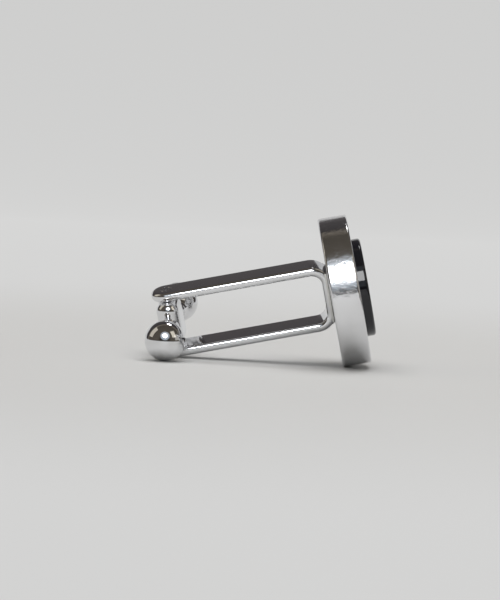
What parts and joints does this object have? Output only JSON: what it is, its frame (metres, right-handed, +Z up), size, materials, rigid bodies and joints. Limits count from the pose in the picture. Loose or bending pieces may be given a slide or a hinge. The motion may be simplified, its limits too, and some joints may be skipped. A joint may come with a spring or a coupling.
{
  "type": "cufflink",
  "caption": "Cufflink with a thick round metal head, a black stone disc standing proud of its front, a fork-shaped post and a ball-ended bar that swivels across the arm tips.",
  "frame": {"origin": "on the table that the cufflink lies on, under the middle of its bounding box", "axes": "+X from the swivel bar to the head, along the length as it lies; +Y away from the ball that touches the table; +Z up"},
  "size_m": [0.0244, 0.016, 0.0162],
  "materials": {
    "plated_metal": "mirror polished, rhodium colour",
    "black_stone": "polished opaque black",
    "silver_solder": "plated over, slightly uneven",
    "pin_steel": "turned and plated",
    "spring_steel": "blued grey strip",
    "cement": "clear amber epoxy"
  },
  "bodies": {
    "head_and_frame": {"head_disc": "plated_metal", "stone_cement": "cement", "onyx_disc": "black_stone", "post_frame": "plated_metal", "solder_seam": "silver_solder", "pivot_pin": "pin_steel"},
    "swivel_bar": {"swivel_hub": "plated_metal", "hub_cap_upper": "pin_steel", "hub_cap_lower": "pin_steel", "leaf_spring_near": "spring_steel", "leaf_spring_far": "spring_steel", "ball_end_near": "plated_metal", "ball_end_far": "plated_metal"}
  },
  "joints": [
    {"name": "bar_swivel", "type": "hinge", "parent": "head_and_frame", "child": "swivel_bar", "pos_m": [-0.00965, 0, 0.0039], "axis": [-0.2136, -0.3009, 0.9294], "continuous": true, "deforming": ["leaf_spring_near", "leaf_spring_far"]}
  ]
}
